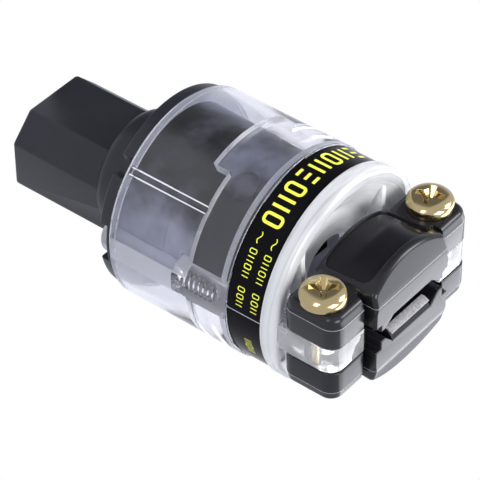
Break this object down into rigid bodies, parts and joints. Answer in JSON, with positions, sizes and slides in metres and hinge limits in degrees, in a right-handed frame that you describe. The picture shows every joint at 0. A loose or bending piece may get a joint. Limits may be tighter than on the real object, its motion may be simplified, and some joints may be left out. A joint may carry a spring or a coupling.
{
  "type": "c13 power connector",
  "caption": "Rewirable C13 cord connector with a black nose, a clear round housing and a two-jaw screw clamp for the cable.",
  "frame": {"origin": "middle of the nose's end face, the face that the connector stands on", "axes": "+Z along the connector's axis towards the cable end, +X through the two clamp screws, -Y towards the clamp screws' heads and the earth contact"},
  "size_m": [0.0436, 0.0436, 0.0872],
  "materials": {
    "nose_black": "fine matte moulding",
    "core_black": "satin moulding",
    "contact_brass": "plain rolled strip",
    "screw_steel": "bright nickel plate",
    "clear_plastic": "clear moulded polycarbonate",
    "band_black": "printed glossy film",
    "clamp_black": "semi-gloss moulding",
    "gold_plate": "bright gold plate"
  },
  "bodies": {
    "connector": {"connector_body": "nose_black", "terminal_cover": "core_black", "line_contact": "contact_brass", "line_clamp_plate": "contact_brass", "line_terminal_screw": "screw_steel", "neutral_contact": "contact_brass", "neutral_clamp_plate": "contact_brass", "neutral_terminal_screw": "screw_steel", "earth_contact": "contact_brass", "earth_clamp_plate": "contact_brass", "earth_terminal_screw": "screw_steel", "clear_housing": "clear_plastic", "label_band": "band_black", "left_assembly_screw": "screw_steel", "right_assembly_screw": "screw_steel"},
    "head_jaw": {"head_side_jaw": "clamp_black"},
    "nut_jaw": {"nut_side_jaw": "clamp_black", "left_clamp_nut": "gold_plate", "right_clamp_nut": "gold_plate"},
    "left_screw": {"left_clamp_screw": "gold_plate"},
    "right_screw": {"right_clamp_screw": "gold_plate"}
  },
  "joints": [
    {"name": "head_jaw_slide", "type": "slide", "parent": "connector", "child": "head_jaw", "axis": [0, -1, 0], "range_m": [0, 0.002]},
    {"name": "nut_jaw_slide", "type": "slide", "parent": "connector", "child": "nut_jaw", "axis": [0, 1, 0], "range_m": [0, 0.002]},
    {"name": "left_screw_turn", "type": "hinge", "parent": "head_jaw", "child": "left_screw", "pos_m": [-0.01606, 0, 0.079], "axis": [0, -1, 0], "range_deg": [0, 2058]},
    {"name": "right_screw_turn", "type": "hinge", "parent": "head_jaw", "child": "right_screw", "pos_m": [0.01606, 0, 0.079], "axis": [0, -1, 0], "range_deg": [0, 2058]}
  ],
  "couplings": [
    {"joint": "nut_jaw_slide", "follows": "head_jaw_slide", "ratio": 1},
    {"joint": "left_screw_turn", "follows": "head_jaw_slide", "rad_per_m": 17952},
    {"joint": "right_screw_turn", "follows": "head_jaw_slide", "rad_per_m": 17952}
  ]
}
